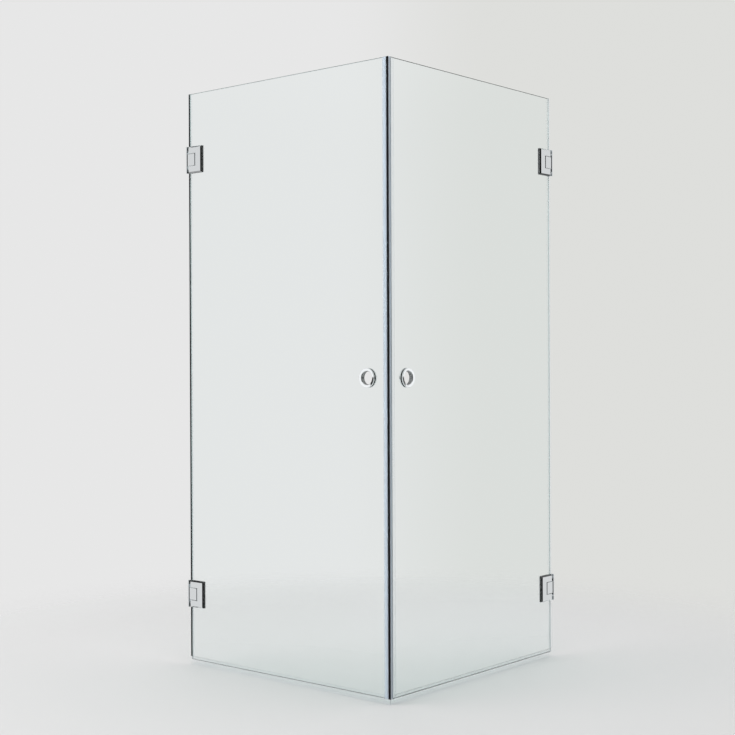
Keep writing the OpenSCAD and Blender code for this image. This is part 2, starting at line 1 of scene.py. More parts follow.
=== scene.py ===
"""Looks of the corner shower enclosure: clear glass doors, chrome hinges and ring pulls, and clear seals.

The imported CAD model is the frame. Most of its nodes keep their meshes and get finishes here. The ring pulls,
the detent springs and the chrome parts of the hinges are remade with finer surfaces in the same places.
"""

import json
import math
import bmesh
import bpy
import numpy as np
from bpy.props import FloatProperty, FloatVectorProperty, IntProperty, PointerProperty
from mathutils import Matrix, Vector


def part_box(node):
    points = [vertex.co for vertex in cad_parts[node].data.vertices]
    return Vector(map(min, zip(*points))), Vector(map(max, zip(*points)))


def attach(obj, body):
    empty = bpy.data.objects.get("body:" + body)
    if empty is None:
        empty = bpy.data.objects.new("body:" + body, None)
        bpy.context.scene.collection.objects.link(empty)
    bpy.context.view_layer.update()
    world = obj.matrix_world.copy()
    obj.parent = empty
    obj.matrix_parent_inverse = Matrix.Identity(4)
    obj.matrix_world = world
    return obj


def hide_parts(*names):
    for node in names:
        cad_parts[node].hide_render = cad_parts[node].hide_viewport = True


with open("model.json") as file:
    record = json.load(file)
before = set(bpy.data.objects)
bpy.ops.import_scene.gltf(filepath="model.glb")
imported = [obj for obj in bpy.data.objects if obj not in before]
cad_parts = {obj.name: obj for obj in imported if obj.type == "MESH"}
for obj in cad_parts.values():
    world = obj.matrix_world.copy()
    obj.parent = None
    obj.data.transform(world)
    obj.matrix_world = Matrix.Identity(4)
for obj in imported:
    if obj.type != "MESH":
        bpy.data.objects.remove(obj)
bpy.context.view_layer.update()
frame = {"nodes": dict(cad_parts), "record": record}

bl_info = {
    "name": "Corner Shower Enclosure",
    "version": (1, 0, 0),
    "blender": (4, 5, 0),
    "location": "View3D > Sidebar > Enclosure",
    "description": "Builds the glass, chrome, seals and studio of a corner shower enclosure",
    "category": "Object",
}

SIDES = ("left", "right")
LEVELS = ("upper", "lower")
UP = np.array([0.0, 0.0, 1.0])
# For each door: along it away from the corner, and out of the shower
ALONG = {"left": np.array([-1.0, 0.0, 0.0]), "right": np.array([0.0, 1.0, 0.0])}
OUTWARD = {"left": np.array([0.0, -1.0, 0.0]), "right": np.array([1.0, 0.0, 0.0])}

# Lengths in metres that differ by less than this are equal
TINY = 1e-6
# Degrees from which an edge of a piece is sharp, and up to which triangles of the CAD form one flat face
SHARP_ANGLE = 30.0
FLAT_ANGLE = 0.4

# The finishes made so far, by name
FINISHES = {}


# Settings


def colour(name, description, value):
    """A colour setting with linear red, green and blue."""
    return FloatVectorProperty(
        name=name, description=description, default=value, size=3, subtype="COLOR", min=0.0, max=1.0)


def length(name, description, value):
    """A length setting in metres."""
    return FloatProperty(
        name=name, description=description, default=value, min=0.0, unit="LENGTH", precision=5)


class ENCLOSURE_PG_finishes(bpy.types.PropertyGroup):
    """Colours of the finishes."""

    chrome: colour("Chrome", "Reflected colour of the polished chrome", (0.885, 0.912, 0.926))
    # Painted shade: the finger hole wall of each ring pull gets this colour, far darker than the chrome
    bore: colour("Bore", "Reflected colour of the bore of the ring pulls", (0.255, 0.262, 0.265))
    steel: colour("Steel", "Reflected colour of the machined steel", (0.62, 0.63, 0.65))
    vinyl: colour("Clear vinyl", "Tint of the clear seals", (0.985, 0.99, 0.995))
    hazy_vinyl: colour("Hazy vinyl", "Colour of the corner seals", (0.84, 0.90, 0.97))
    black_vinyl: colour("Black vinyl", "Colour of the black lips of the seals", (0.004, 0.004, 0.005))
    haze: FloatProperty(
        name="Haze", description="Share of light that the corner seals scatter", default=0.34,
        min=0.0, max=1.0)
    # Painted shade: the left wall seal is painted black over this width next to the glass edge, for the shade
    # in the gap at the wall
    painted_wall_shade: length(
        "Wall lip", "Width of the black lip of the left wall seal, from the glass edge", 0.0045)
    corner_lip: length(
        "Corner lip", "Width of the black lip of the left corner seal, from the corner", 0.0086)
    corner_haze: length(
        "Hazy width", "Width of the hazy part of the right corner seal, from the corner", 0.0095)
    magnet: colour("Magnet", "Colour of the magnet strips", (0.012, 0.012, 0.014))
    rubber: colour("Rubber", "Colour of the gaskets", (0.016, 0.016, 0.018))
    nylon: colour("Nylon", "Colour of the bushes and pivot washers", (0.84, 0.84, 0.81))
    glass_tint: colour(
        "Glass tint", "Colour that is left of white light deep in the glass", (0.0, 0.90, 0.80))
    glass_edge: colour(
        "Pale edge", "Colour of the edges of the glass that catch the light", (0.86, 0.90, 0.91))
    # Painted dark reflection: colour painted on the pane edges that face the sides listed as dark
    glass_painted_dark_edge: colour(
        "Dark edge", "Colour of the edges of the glass that look into its depth", (0.02, 0.03, 0.028))
    glass_density: FloatProperty(
        name="Glass density", description="How fast the glass takes up colour, per metre", default=3.4,
        min=0.0)


class ENCLOSURE_PG_shapes(bpy.types.PropertyGroup):
    """Sizes of the pieces that are made here."""

    ring_thickness: length("Ring thickness", "Thickness of a ring pull at its rim", 0.0045)
    ring_dish: length("Ring dish", "Depth of the dish in the face of a ring", 0.0014)
    ring_round: length("Ring rounding", "Radius of the rounded rim of a ring", 0.0011)
    ring_bevel: length("Ring bevel", "Bevel round the finger hole", 0.0015)
    ring_ease: length("Ring easing", "Radius at both ends of that bevel", 0.0003)
    ring_back: length("Ring back bevel", "Bevel at the back edge of a ring", 0.0006)
    ring_hollow: length("Ring hollow", "Hollow of the dished face", 0.00006)
    ring_seat: length("Ring seat", "Back of a ring, from the middle of the glass", 0.0048)
    finger_radius: length("Finger hole", "Radius of the finger hole", 0.021)
    tube_wall: length("Tube wall", "Wall of the threaded tube between the rings", 0.002)
    tube_end: length("Tube end", "End of the tube, from the middle of the glass", 0.0063)
    thread_depth: length("Thread depth", "Depth of the thread on the tube", 0.0002)
    thread_pitch: length("Thread pitch", "Distance between the turns of the thread", 0.001)
    thread_gap: length("Thread gap", "Gap round the tube in the inner ring", 0.00002)
    wire_radius: length("Spring wire", "Radius of the wire of a detent spring", 0.0005)
    spring_radius: length(
        "Spring radius", "Radius of a detent spring, to the middle of its wire", 0.00265)
    spring_turns: IntProperty(
        name="Spring turns", description="Number of turns of a detent spring", default=4, min=1)
    edge_round: length("Edge rounding", "Rounding of the edges of the chrome hinge parts", 0.00025)


class ENCLOSURE_PG_studio(bpy.types.PropertyGroup):
    """The camera, the lamps, the backdrop and the floor."""

    camera_place: FloatVectorProperty(
        name="Camera", description="Place of the camera", default=(3.0599, -3.6165, 1.0387), size=3,
        unit="LENGTH")
    camera_yaw: FloatProperty(
        name="Yaw", description="Turn of the camera to the left of +Y", default=math.radians(40.43),
        subtype="ANGLE")
    camera_pitch: FloatProperty(
        name="Pitch", description="Tilt of the camera upwards", default=math.radians(-0.202),
        subtype="ANGLE")
    camera_roll: FloatProperty(
        name="Roll", description="Turn of the camera about its view", default=math.radians(-0.233),
        subtype="ANGLE")
    lens: FloatProperty(
        name="Lens", description="Focal length on a 36 mm sensor", default=66.44, unit="CAMERA")
    backdrop_left: colour("Backdrop, left", "Backdrop behind the left door", (0.80, 0.80, 0.80))
    backdrop_right: colour("Backdrop, right", "Backdrop behind the right door", (0.73, 0.735, 0.715))
    floor: colour("Floor", "Colour of the floor", (0.80, 0.80, 0.80))
    floor_radius: length("Floor radius", "Radius of the floor", 2.6)
    soft_light: FloatProperty(
        name="Soft light", description="Level of the even light", default=0.62, min=0.0)
    key_power: FloatProperty(
        name="Key lamp", description="Power of the large lamp at the left", default=62.0, unit="POWER")
    top_power: FloatProperty(
        name="Top lamp", description="Power of the large lamp overhead", default=58.0, unit="POWER")


# Shader helpers

# The sockets of a Mix node that mixes colours
MIX_FACTOR, MIX_FIRST, MIX_SECOND, MIX_RESULT = 0, 6, 7, 2


def add_node(tree, kind, settings=None, inputs=None):
    """A shader node with its settings, and with its sockets set or linked."""
    made = tree.nodes.new(kind)
    for name, value in (settings or {}).items():
        setattr(made, name, value)
    for name, value in (inputs or {}).items():
        if isinstance(value, bpy.types.NodeSocket):
            tree.links.new(value, made.inputs[name])
        else:
            made.inputs[name].default_value = value
    return made


def new_material(name):
    """An empty material and its node tree, or the finish of that name and None where it is made already."""
    if name in FINISHES:
        return FINISHES[name], None
    material = bpy.data.materials.new(name)
    material.use_nodes = True
    material.node_tree.nodes.clear()
    FINISHES[name] = material
    return material, material.node_tree


def coordinates(tree, kind):
    """Texture coordinates of the given kind."""
    return add_node(tree, "ShaderNodeTexCoord").outputs[kind]


def calculated(tree, operation, *values, use_clamp=False):
    """The result of a sum on numbers or sockets."""
    settings = {"operation": operation, "use_clamp": use_clamp}
    return add_node(tree, "ShaderNodeMath", settings, dict(enumerate(values))).outputs["Value"]


def projected(tree, vector, direction):
    """The share of a vector along a direction."""
    return add_node(tree, "ShaderNodeVectorMath", {"operation": "DOT_PRODUCT"}, {
        0: vector, 1: tuple(direction)}).outputs["Value"]


def stretched_noise(tree, scale, stretch=(1.0, 1.0, 1.0), detail=3.0, roughness=0.5):
    """Noise on Object coordinates, drawn out along the axes where stretch is small."""
    mapping = add_node(tree, "ShaderNodeMapping", inputs={
        "Vector": coordinates(tree, "Object"), "Scale": stretch})
    return add_node(tree, "ShaderNodeTexNoise", inputs={
        "Vector": mapping.outputs["Vector"], "Scale": scale, "Detail": detail,
        "Roughness": roughness}).outputs["Fac"]


def ranged(tree, value, low, high, start=0.3, end=0.7, easing="LINEAR"):
    """The value from start to end, spread over low to high and held there."""
    return add_node(tree, "ShaderNodeMapRange", {"interpolation_type": easing}, {
        "Value": value, "From Min": start, "From Max": end, "To Min": low, "To Max": high}).outputs["Result"]


def bumped(tree, height, strength, distance):
    """A normal that follows the height."""
    return add_node(tree, "ShaderNodeBump", inputs={
        "Height": height, "Strength": strength, "Distance": distance}).outputs["Normal"]


def blended(tree, factor, first, second):
    """A colour between two colours, each given as three numbers or as a socket."""
    first, second = (
        value if isinstance(value, bpy.types.NodeSocket) else (*value, 1.0) for value in (first, second))
    return add_node(tree, "ShaderNodeMix", {"data_type": "RGBA"}, {
        MIX_FACTOR: factor, MIX_FIRST: first, MIX_SECOND: second}).outputs[MIX_RESULT]


def within(tree, axis, ends):
    """1 between two places along an axis of the Object coordinates, and 0 elsewhere."""
    along = add_node(tree, "ShaderNodeSeparateXYZ", inputs={
        "Vector": coordinates(tree, "Object")}).outputs[axis]
    return calculated(tree, "COMPARE", along, sum(ends) / 2.0, abs(ends[1] - ends[0]) / 2.0)


def towards(tree, direction, start, end, stretch=1.0):
    """1 for the rays that run in a direction and 0 for the others, as the cosine of the angle between them
    goes from start to end. The height of the rays is divided by stretch first, so the form is that much
    taller."""
    flat = add_node(tree, "ShaderNodeVectorMath", {"operation": "MULTIPLY"}, {
        0: coordinates(tree, "Generated"), 1: (1.0, 1.0, 1.0 / stretch)}).outputs["Vector"]
    way = add_node(tree, "ShaderNodeVectorMath", {"operation": "NORMALIZE"}, {0: flat}).outputs["Vector"]
    cosine = projected(tree, way, np.array(direction) / np.linalg.norm(direction))
    return ranged(tree, cosine, 0.0, 1.0, start, end, "SMOOTHSTEP")


def mirrored_rays(tree):
    """1 for the rays that polished metal sends out, and 0 for the others, those through glass among them."""
    path = add_node(tree, "ShaderNodeLightPath")
    return calculated(
        tree, "SUBTRACT", path.outputs["Is Glossy Ray"], path.outputs["Is Transmission Ray"], use_clamp=True)


def surface(tree, **inputs):
    """A Principled surface with the given sockets, where a space in a name is written as an underscore."""
    return add_node(tree, "ShaderNodeBsdfPrincipled", inputs={
        name.replace("_", " "): value for name, value in inputs.items()}).outputs["BSDF"]


def mixed(tree, factor, first, second):
    """A shader between two shaders."""
    return add_node(tree, "ShaderNodeMixShader", inputs={0: factor, 1: first, 2: second}).outputs["Shader"]


def lets_lamps_through(tree, shader, tint):
    """The shader, but clear and tinted for the rays that look for lamps."""
    path = add_node(tree, "ShaderNodeLightPath")
    clear = add_node(tree, "ShaderNodeBsdfTransparent", inputs={"Color": (*tint, 1.0)})
    return mixed(tree, path.outputs["Is Shadow Ray"], shader, clear.outputs["BSDF"])


def output(tree, shader, **others):
    """The material's output."""
    add_node(tree, "ShaderNodeOutputMaterial", inputs={"Surface": shader, **others})


def toned(base, factor):
    """A darker or lighter tone of a colour."""
    return [min(1.0, factor * part) for part in base]


# Finishes

WHITE = (1.0, 1.0, 1.0)
# What is left of the light of the lamps behind glass and behind vinyl
GLASS_SHADE = (0.92, 0.95, 0.94)
VINYL_SHADE = (0.94, 0.96, 0.98)
GLASS_BENDING = 1.52
GROUND_ROUGHNESS = 0.25
# From the ground edge to the clear face of a pane, by the square of its normal's share outwards
CLEAR_FACE = (0.6, 0.98)
# From a pale ground edge to a painted dark edge of a pane, by its normal's share towards a dark side
PAINTED_DARK_EDGE = (0.3, 0.6)
# Painted dark reflection on the edges facing these sides: left pane top and wall side, right pane top and
# bottom
PAINTED_DARK_SIDES = {"left": (UP, ALONG["left"]), "right": (UP, -UP)}
# A place outside the enclosure, for a band that a seal doesn't have
NOWHERE = (1.0, 1.0)
# How many times wider the clouds of tone in a moulded finish are than its specks
CLOUD_WIDTH = 18.0
# Distances in metres over which the floor fades, and the share by which polished metal sees it farther off
FLOOR_FADE = (0.9, 2.3)
MIRRORED_FLOOR = 0.8


def glass_finish(finishes, side):
    """Clear toughened glass: clear faces, duller ground edges and a green tint that grows with depth. The
    edges facing the listed dark sides are painted near black, a painted dark reflection, and the others
    keep the pale ground edge colour."""
    material, tree = new_material(f"clear_glass_{side}")
    if tree is None:
        return material
    normal = coordinates(tree, "Normal")
    outwards = projected(tree, normal, OUTWARD[side])
    square = calculated(tree, "MULTIPLY", outwards, outwards)
    clear = ranged(tree, square, 0.0, 1.0, *CLEAR_FACE)
    # How far a face looks towards a side whose edges are painted dark
    painted_dark_share = 0.0
    for direction in PAINTED_DARK_SIDES[side]:
        painted_dark_share = calculated(tree, "MAXIMUM", projected(tree, normal, direction), painted_dark_share)
    # Painted dark reflection: the pale ground edge colour turns near black on edges facing those sides
    dark = ranged(tree, painted_dark_share, 0.0, 1.0, *PAINTED_DARK_EDGE)
    edge = blended(tree, dark, finishes.glass_edge, finishes.glass_painted_dark_edge)
    shader = surface(
        tree, Base_Color=blended(tree, clear, edge, WHITE), IOR=GLASS_BENDING, Transmission_Weight=clear,
        Roughness=ranged(tree, square, GROUND_ROUGHNESS, 0.0, *CLEAR_FACE))
    depth = add_node(tree, "ShaderNodeVolumeAbsorption", inputs={
        "Color": (*finishes.glass_tint, 1.0), "Density": finishes.glass_density})
    output(tree, lets_lamps_through(tree, shader, GLASS_SHADE), Volume=depth.outputs["Volume"])
    return material


def chrome_finish(finishes):
    """Polished chrome with faint wiping marks, painted darker as shade in the finger hole of a ring pull,
    where the attribute for that is 1.
    """
    material, tree = new_material("chrome")
    if tree is None:
        return material
    smudges = stretched_noise(tree, scale=26.0, stretch=(1.0, 1.0, 0.6), detail=4.0, roughness=0.6)
    wiping = stretched_noise(tree, scale=900.0, stretch=(1.0, 1.0, 0.15), detail=2.0)
    bore = add_node(tree, "ShaderNodeAttribute", {"attribute_name": "bore"}).outputs["Fac"]
    # The finger hole's wall gets the far darker bore colour, a painted shade
    output(tree, surface(
        tree, Base_Color=blended(tree, bore, finishes.chrome, finishes.bore), Metallic=1.0,
        Roughness=ranged(tree, smudges, low=0.035, high=0.10),
        Normal=bumped(tree, wiping, strength=0.02, distance=0.00005)))
    return material


def steel_finish(finishes):
    """Machined stainless steel with fine turning lines and clouds of tone."""
    material, tree = new_material("machined_steel")
    if tree is None:
        return material
    lines = stretched_noise(tree, scale=1400.0, stretch=(1.0, 1.0, 3.0), detail=2.0)
    clouds = stretched_noise(tree, scale=60.0)
    output(tree, surface(
        tree, Base_Color=blended(tree, clouds, toned(finishes.steel, 0.94), toned(finishes.steel, 1.06)),
        Metallic=1.0, Roughness=ranged(tree, lines, low=0.20, high=0.36),
        Normal=bumped(tree, lines, strength=0.15, distance=0.00004)))
    return material


def vinyl_finish(finishes, name="seal_vinyl", bending=1.12, axis="X", hazy=NOWHERE, dark=NOWHERE):
    """Clear soft vinyl with faint drawing lines along its length. Between the two places along the axis in
    hazy, it scatters part of the light, and between the two in dark, it is black. On the left wall seal
    that black is a painted shade."""
    material, tree = new_material(name)
    if tree is None:
        return material
    lines = stretched_noise(tree, scale=60.0, stretch=(1.0, 1.0, 0.1))
    if hazy == dark == NOWHERE:
        tint, clear = (*finishes.vinyl, 1.0), 1.0
        roughness = ranged(tree, lines, low=0.02, high=0.06)
    else:
        # The black band, which on the left wall seal is a painted shade
        haze, lip = within(tree, axis, hazy), within(tree, axis, dark)
        pale = blended(tree, haze, finishes.vinyl, finishes.hazy_vinyl)
        tint = blended(tree, lip, pale, finishes.black_vinyl)
        solid = calculated(tree, "MAXIMUM", calculated(tree, "MULTIPLY", haze, finishes.haze), lip)
        clear = ranged(tree, solid, low=1.0, high=0.0, start=0.0, end=1.0)
        roughness = ranged(tree, lip, low=0.03, high=0.6, start=0.0, end=1.0)
    shader = surface(
        tree, Base_Color=tint, Roughness=roughness, IOR=bending, Transmission_Weight=clear,
        Normal=bumped(tree, lines, strength=0.05, distance=0.00003))
    output(tree, lets_lamps_through(tree, shader, VINYL_SHADE))
    return material


def grained_finish(name, base, roughness, speck_scale, depth):
    """A moulded finish: clouds of lighter and darker colour, uneven gloss and a fine grain."""
    material, tree = new_material(name)
    if tree is None:
        return material
    specks = stretched_noise(tree, speck_scale, detail=4.0, roughness=0.65)
    clouds = stretched_noise(tree, speck_scale / CLOUD_WIDTH)
    output(tree, surface(
        tree, Base_Color=blended(tree, clouds, toned(base, 0.86), toned(base, 1.12)),
        Roughness=ranged(tree, specks, low=roughness - 0.07, high=roughness + 0.07),
        Normal=bumped(tree, specks, strength=0.3, distance=depth)))
    return material


def nylon_finish(finishes):
    """Moulded nylon."""
    return grained_finish("nylon", finishes.nylon, roughness=0.40, speck_scale=700.0, depth=0.00003)


def floor_finish(studio):
    """A plain floor with a fine grain, which fades out with the distance. Polished metal sees it end sooner,
    and the dark opening beyond it."""
    material, tree = new_material("studio_floor")
    if tree is None:
        return material
    grain = stretched_noise(tree, scale=90.0, detail=4.0)
    shader = surface(
        tree, Base_Color=(*studio.floor, 1.0), Roughness=ranged(tree, grain, low=0.55, high=0.65),
        Specular_IOR_Level=0.2)
    distance = add_node(tree, "ShaderNodeVectorMath", {"operation": "LENGTH"}, {
        0: coordinates(tree, "Object")}).outputs["Value"]
    sooner = calculated(tree, "MULTIPLY_ADD", mirrored_rays(tree), MIRRORED_FLOOR, 1.0)
    fade = ranged(
        tree, calculated(tree, "MULTIPLY", distance, sooner), 0.0, 1.0, *FLOOR_FADE, easing="SMOOTHERSTEP")
    clear = add_node(tree, "ShaderNodeBsdfTransparent")
    output(tree, mixed(tree, fade, shader, clear.outputs["BSDF"]))
    return material


def dress(nodes, material):
    """Gives CAD nodes a finish by their material slots."""
    for name in nodes:
        for slot in frame["nodes"][name].material_slots:
            slot.material = material


def on_doors(*parts):
    """The nodes of these parts on both doors."""
    return [f"{side}_{part}" for side in SIDES for part in parts]


def on_hinges(*parts):
    """The nodes of these parts on all four hinges."""
    return [f"{side}_{level}_{part}" for side in SIDES for level in LEVELS for part in parts]


# Surfaces

# Points along the dish, the rim's rounding and each easing of a ring, along its tube and round it
DISH_POINTS = 16
RIM_POINTS = 9
EASE_POINTS = 4
TUBE_POINTS = 110
RING_POINTS = 160
# The rounding at the tube's end, as a share of its wall, and the metres of smooth tube next to the ring
TUBE_EASE = 0.2
SMOOTH_TUBE = 0.002
# Points round a spring's wire, steps along it in each turn, and the share of its radius left at its very tips
WIRE_POINTS = 14
TURN_STEPS = 40
WIRE_TIP = 0.001


def add_piece(name, points, faces, material, node, smooth_angle=SHARP_ANGLE):
    """A mesh piece that stands for a CAD node and rides on its body. Faces are turned outwards by the sign of
    the volume: the sum, over the triangles of each face's fan, of corner dot (corner cross corner) / 6."""
    fan = np.concatenate([faces[:, [0, 1, 2]], faces[:, [0, 2, 3]]])
    a, b, c = (points[fan[:, corner]] - points.mean(axis=0) for corner in range(3))
    if np.einsum("ij,ij->i", a, np.cross(b, c)).sum() < 0:
        faces = faces[:, ::-1]
    mesh = bpy.data.meshes.new(name)
    mesh.vertices.add(len(points))
    mesh.vertices.foreach_set("co", points.astype(np.float32).ravel())
    mesh.loops.add(faces.size)
    mesh.loops.foreach_set("vertex_index", faces.astype(np.int32).ravel())
    mesh.polygons.add(len(faces))
    mesh.polygons.foreach_set("loop_start", np.arange(0, faces.size, faces.shape[1], dtype=np.int32))
    mesh.update(calc_edges=True)
    mesh.validate()
    return finish_piece(name, mesh, material, node, smooth_angle)


def finish_piece(name, mesh, material, node, smooth_angle=SHARP_ANGLE):
    """Puts a mesh into the scene with its finish, in place of a CAD node and on that node's body."""
    mesh.polygons.foreach_set("use_smooth", np.ones(len(mesh.polygons), dtype=bool))
    mesh.set_sharp_from_angle(angle=math.radians(smooth_angle))
    mesh.materials.clear()
    mesh.materials.append(material)
    piece = bpy.data.objects.new(name, mesh)
    bpy.context.collection.objects.link(piece)
    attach(piece, body_of(node))
    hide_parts(node)
    return piece


def body_of(node):
    """The body that carries a CAD node."""
    for name, nodes in frame["record"]["behaviour"]["bodies"].items():
        if node in nodes:
            return name
    raise ValueError(f"no body carries {node}")


def corners(node):
    """The lowest and the highest corner of a CAD node."""
    low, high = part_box(node)
    return np.array(low), np.array(high)


def joined_copy(node, name):
    """A copy of a CAD node's mesh, whose loose triangles are joined into flat faces."""
    work = bmesh.new()
    work.from_mesh(frame["nodes"][node].data)
    bmesh.ops.remove_doubles(work, verts=work.verts, dist=TINY)
    bmesh.ops.dissolve_limit(
        work, angle_limit=math.radians(FLAT_ANGLE), verts=work.verts, edges=work.edges, delimit=set())
    mesh = bpy.data.meshes.new(name)
    work.to_mesh(mesh)
    work.free()
    return mesh


def grid_faces(rows, columns, closed=True):
    """Quads of a grid whose rows are loops: row i meets row i + 1, and the last meets the first if closed."""
    i, j = np.meshgrid(np.arange(rows if closed else rows - 1), np.arange(columns), indexing="ij")
    n, m = (i + 1) % rows, (j + 1) % columns
    quads = [i * columns + j, i * columns + m, n * columns + m, n * columns + j]
    return np.stack(quads, axis=-1).reshape(-1, 4)


def arc(radius, height, r, start, end, count):
    """Points of an arc of radius r about (radius, height), from the start angle to the end angle in degrees:
    centre + r (cos t, sin t)."""
    t = np.radians(np.linspace(start, end, count))
    return np.stack([radius + r * np.cos(t), height + r * np.sin(t)], axis=1)


def ring_face(rim, s):
    """Half section of a ring's face, from the bevel at its back to the finger hole: a quarter round at the
    rim, a dish that falls evenly and is hollowed by half a sine wave, and a 45 degree bevel, eased at both
    ends by an eighth of a round, at the finger hole."""
    back = s.ring_seat
    front = back + s.ring_thickness
    outer, inner, lip = rim - s.ring_round, s.finger_radius + s.ring_bevel, front - s.ring_dish
    f = np.linspace(0.0, 1.0, DISH_POINTS + 2)[1:-1]
    fall = s.ring_dish * f + s.ring_hollow * np.sin(np.pi * f)
    return np.concatenate([
        [[rim - s.ring_back, back], [rim, back + s.ring_back]],
        arc(outer, front - s.ring_round, s.ring_round, 0.0, 90.0, RIM_POINTS),
        np.stack([outer + (inner - outer) * f, front - fall], axis=1),
        arc(inner, lip - s.ring_ease, s.ring_ease, 90.0, 135.0, EASE_POINTS),
        arc(s.finger_radius + s.ring_ease, lip - s.ring_bevel, s.ring_ease, 135.0, 180.0, EASE_POINTS),
    ])


def outer_section(rim, s):
    """Closed half section of the outer ring with its tube, as radius and height out of the shower. The last
    rows run along the tube's outside, where the thread is cut."""
    tube = s.finger_radius + s.tube_wall
    ease = s.tube_wall * TUBE_EASE
    along = np.linspace(ease - s.tube_end, s.ring_seat - ease, TUBE_POINTS)
    return np.concatenate([
        ring_face(rim, s),
        [[s.finger_radius, ease - s.tube_end]],
        [[s.finger_radius + ease, -s.tube_end], [tube - ease, -s.tube_end]],
        np.stack([np.full_like(along, tube), along], axis=1),
        [[tube, s.ring_seat]],
    ])


def inner_section(rim, s):
    """Closed half section of the inner ring, with the recess that the tube screws into."""
    recess = s.finger_radius + s.tube_wall + s.thread_gap
    return np.concatenate([
        ring_face(rim, s),
        [[s.finger_radius, s.tube_end], [recess, s.tube_end], [recess, s.ring_seat]],
    ])


def threaded(s):
    """Cuts a thread: where the radius is the tube's, it is less by depth * (1 - cos(2 pi h / pitch - a)) / 2,
    and the depth falls to nothing over one pitch at the ring and at the tube's end."""
    tube = s.finger_radius + s.tube_wall

    def cut(radius, height, a):
        from_end = height + s.tube_end - s.tube_wall * TUBE_EASE
        to_ring = s.ring_seat - height - SMOOTH_TUBE
        share = np.clip(np.minimum(from_end, to_ring) / s.thread_pitch, 0.0, 1.0)
        wave = (1.0 - np.cos(2.0 * np.pi * height / s.thread_pitch - a)) / 2.0
        return radius - np.where(np.abs(radius - tube) < TINY, s.thread_depth * share * wave, 0.0)

    return cut


def turned(section, centre, axis, side, cut=None):
    """Points of a turned surface: centre + axis * height + radius * (cos a * along + sin a * up), where
    cut(radius, height, a) gives the radius once a thread is cut."""
    a = np.linspace(0.0, 2.0 * np.pi, RING_POINTS, endpoint=False)[None, :]
    radius, height = section[:, 0][:, None], section[:, 1][:, None] + 0.0 * a
    radius = cut(radius, height, a) if cut else radius + 0.0 * a
    ring = (radius * np.cos(a))[..., None] * ALONG[side] + (radius * np.sin(a))[..., None] * UP
    return (centre + height[..., None] * axis + ring).reshape(-1, 3)


def coiled(start, axis, across, span, s):
    """Points of a coiled wire. At the share f of its length the wire's middle is at start + axis * (r + f *
    (span - 2 r)) + R * (cos t * across + sin t * up), with t = 2 pi * turns * f. Round it, the wire's surface
    is r (cos b * outwards + sin b * axis), and r closes to nothing at both ends as a round end does."""
    r = s.wire_radius
    up = np.cross(axis, across)
    f = np.linspace(0.0, 1.0, TURN_STEPS * s.spring_turns + 1)[:, None]
    b = np.linspace(0.0, 2.0 * np.pi, WIRE_POINTS, endpoint=False)[None, :]
    t = 2.0 * np.pi * s.spring_turns * f
    out = np.cos(t)[..., None] * across + np.sin(t)[..., None] * up
    to_end = np.minimum(f, 1.0 - f) * 2.0 * np.pi * s.spring_turns * s.spring_radius
    wire = r * np.sqrt(np.clip(1.0 - (1.0 - np.clip(to_end / r, 0.0, 1.0)) ** 2, WIRE_TIP ** 2, 1.0))
    middle = start + axis * (r + f * (span - 2.0 * r))[..., None] + s.spring_radius * out
    return middle + (wire * np.cos(b))[..., None] * out + (wire * np.sin(b))[..., None] * axis


# Operators


class EnclosureOperator:
    """What the operators share."""

    bl_options = {"REGISTER", "UNDO"}

    @property
    def finishes(self):
        return bpy.context.scene.enclosure_finishes

    @property
    def shapes(self):
        return bpy.context.scene.enclosure_shapes


class ENCLOSURE_OT_glass_panes(EnclosureOperator, bpy.types.Operator):
    """Gives both panes clear glass with ground edges"""

    bl_idname = "enclosure.glass_panes"
    bl_label = "Glass Panes"

    def execute(self, context):
        for side in SIDES:
            dress([f"{side}_glass"], glass_finish(self.finishes, side))
        return {"FINISHED"}


class ENCLOSURE_OT_ring_pulls(EnclosureOperator, bpy.types.Operator):
    """Turns the outer and inner rings of both pulls"""

    bl_idname = "enclosure.ring_pulls"
    bl_label = "Ring Pulls"

    def execute(self, context):
        s = self.shapes
        for side in SIDES:
            out = OUTWARD[side]
            low, high = corners(f"{side}_knob_outer")
            glass_low, glass_high = corners(f"{side}_glass")
            rim = (high - low) @ UP / 2.0
            # The middle of the ring on the door, and the middle of the glass across it
            centre = np.where(out == 0.0, low + high, glass_low + glass_high) / 2.0
            self.turn_ring(side, "outer", outer_section(rim, s), centre, out, threaded(s))
            self.turn_ring(side, "inner", inner_section(rim, s), centre, -out)
        return {"FINISHED"}

    def turn_ring(self, side, part, section, centre, axis, cut=None):
        """One ring, with the attribute for the painted shade of its finger hole at 1 on the wall of that hole
        and at 0 elsewhere.
        """
        ring = add_piece(
            f"{side}_pull_{part}", turned(section, centre, axis, side, cut),
            grid_faces(len(section), RING_POINTS), chrome_finish(self.finishes),
            f"{side}_knob_{part}")
        # Marks the finger hole's wall, where the chrome gets its painted shade
        bore = np.repeat(section[:, 0] < self.shapes.finger_radius + TINY, RING_POINTS)
        values = ring.data.attributes.new("bore", "FLOAT", "POINT").data
        values.foreach_set("value", bore.astype(np.float32))


class ENCLOSURE_OT_pull_fittings(EnclosureOperator, bpy.types.Operator):
    """Gives the bushes nylon and the washers clear vinyl"""

    bl_idname = "enclosure.pull_fittings"
    bl_label = "Pull Fittings"

    def execute(self, context):
        dress(on_doors("knob_bush"), nylon_finish(self.finishes))
        dress(on_doors("knob_washers"), vinyl_finish(self.finishes))
        return {"FINISHED"}


